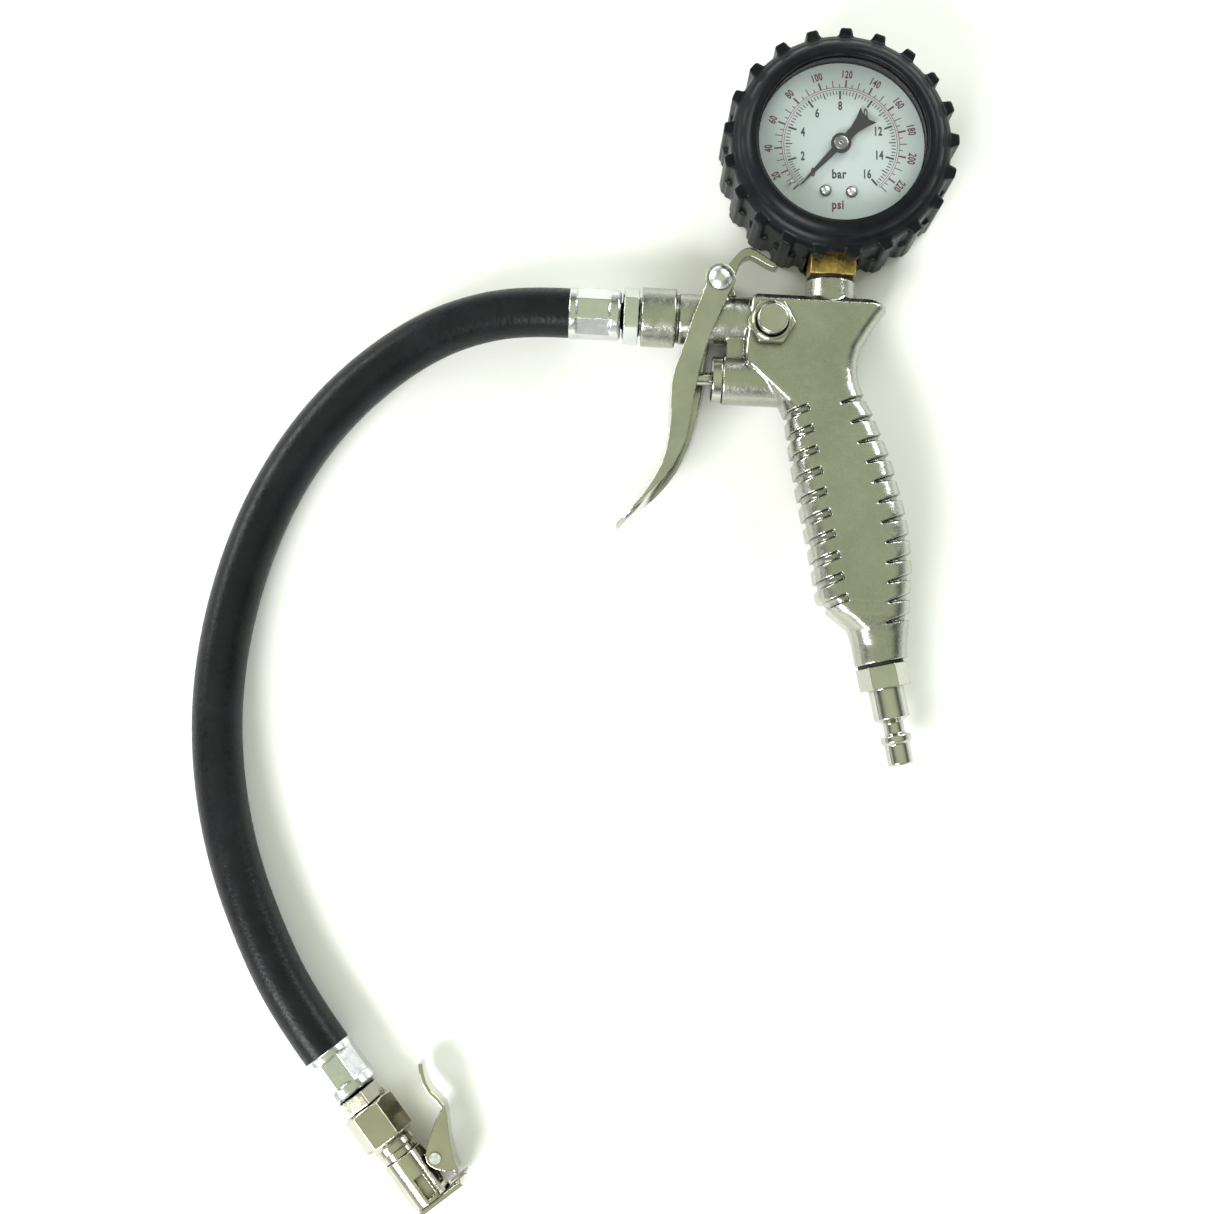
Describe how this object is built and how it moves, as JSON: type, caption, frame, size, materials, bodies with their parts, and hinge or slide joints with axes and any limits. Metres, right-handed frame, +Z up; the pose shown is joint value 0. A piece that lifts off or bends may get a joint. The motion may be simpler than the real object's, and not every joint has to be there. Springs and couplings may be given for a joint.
{
  "type": "tyre inflator with gauge",
  "caption": "Hand-held tyre inflator: cast trigger gun with dial gauge in a lugged rubber boot, short rubber hose and a clip-on tyre valve chuck.",
  "frame": {"origin": "middle of the gun's footprint on the surface it lies on, hose and chuck left out", "axes": "+Z up from the surface, out of the dial; +X along the barrel away from the hose; +Y from the grip towards the gauge"},
  "size_m": [0.2473, 0.4013, 0.0347],
  "materials": {
    "plated_casting": "nickel-plated die casting, olive-grey reflections",
    "plated_sheet": "nickel-plated stamped sheet",
    "zinc_pin": "pale zinc-plated pin",
    "plated_turned": "nickel-plated turned part",
    "plated_button": "nickel-plated turned button",
    "seal_rubber": "nitrile",
    "brass": "machined brass",
    "spring_steel": "spring steel",
    "sealing_washer": "bonded seal",
    "strainer_mesh": "woven strainer",
    "boot_rubber": "black moulded rubber, slight sheen",
    "case_steel": "black painted steel case",
    "bezel_steel": "black painted bezel",
    "lens_clear": "clear polycarbonate",
    "dial_print": "pale grey printed dial",
    "screw_steel": "bright screws",
    "pointer_black": "matt black pointer",
    "zinc_ferrule": "bright zinc-plated steel",
    "hose_rubber": "black rubber hose"
  },
  "bodies": {
    "gun": {"gun_body": "plated_casting", "trigger_pivot_pin": "zinc_pin", "valve_gland_nut": "plated_turned", "plunger_seal": "seal_rubber", "valve_seat": "brass", "valve_spring": "spring_steel", "release_nut": "plated_turned", "release_spring": "spring_steel", "inlet_plug": "plated_turned", "inlet_washer": "sealing_washer", "inlet_strainer": "strainer_mesh", "gauge_washer": "sealing_washer", "gauge_stem_block": "brass", "gauge_boot": "boot_rubber", "gauge_case": "case_steel", "gauge_bezel": "bezel_steel", "gauge_lens": "lens_clear", "gauge_dial": "dial_print", "dial_screws": "screw_steel", "pointer_stop_pin": "screw_steel", "movement_frame": "brass", "bourdon_tube": "brass", "bourdon_tip_link": "brass", "gun_ferrule": "zinc_ferrule", "hose_stem_nut": "zinc_ferrule", "hose": "hose_rubber", "chuck_ferrule": "zinc_ferrule", "chuck_hose_nut": "zinc_ferrule", "chuck_body": "plated_turned", "chuck_sleeve": "plated_turned", "chuck_seal": "seal_rubber", "depressor_pin": "brass", "lever_pin": "zinc_pin", "lever_spring": "spring_steel"},
    "trigger": {"trigger": "plated_sheet"},
    "plunger": {"valve_plunger": "plated_turned", "poppet_seal": "seal_rubber"},
    "release_button": {"release_button": "plated_button", "release_seal": "seal_rubber"},
    "pointer": {"pointer": "pointer_black", "pinion": "brass"},
    "sector": {"sector_gear": "brass"},
    "chuck_lever": {"chuck_lever": "plated_sheet"},
    "chuck_jaw": {"chuck_jaw": "plated_sheet"}
  },
  "joints": [
    {"name": "trigger_pull", "type": "hinge", "parent": "gun", "child": "trigger", "pos_m": [-0.01365, 0.03661, 0.0125], "axis": [0, 0, 1], "range_deg": [0, 8], "stiffness_Nm_per_rad": 0.6, "springref_deg": -8.59},
    {"name": "plunger_slide", "type": "slide", "parent": "gun", "child": "plunger", "axis": [1, 0, 0], "range_m": [0, 0.00455], "deforming": ["valve_spring"]},
    {"name": "release_press", "type": "slide", "parent": "gun", "child": "release_button", "axis": [0, 0, -1], "range_m": [0, 0.002], "stiffness_N_per_m": 400, "springref_m": -0.001, "deforming": ["release_spring"]},
    {"name": "sector_turn", "type": "hinge", "parent": "gun", "child": "sector", "pos_m": [0.03595, 0.07361, 0.012], "axis": [0, 0, 1], "range_deg": [0, 45]},
    {"name": "pointer_turn", "type": "hinge", "parent": "gun", "child": "pointer", "pos_m": [0.02435, 0.08401, 0.026], "axis": [0, 0, -1], "range_deg": [0, 270]},
    {"name": "lever_press", "type": "hinge", "parent": "gun", "child": "chuck_lever", "pos_m": [-0.09204, -0.25866, 0.0088], "axis": [0, 0, 1], "range_deg": [0, 18], "stiffness_Nm_per_rad": 0.05, "springref_deg": -11.46},
    {"name": "jaw_slide", "type": "slide", "parent": "gun", "child": "chuck_jaw", "axis": [0.7683, 0.6401, 0], "range_m": [0, 0.0026]}
  ],
  "couplings": [
    {"joint": "plunger_slide", "follows": "trigger_pull", "m_per_rad": 0.0322},
    {"joint": "pointer_turn", "follows": "sector_turn", "ratio": 6},
    {"joint": "jaw_slide", "follows": "lever_press", "m_per_rad": 0.008}
  ]
}
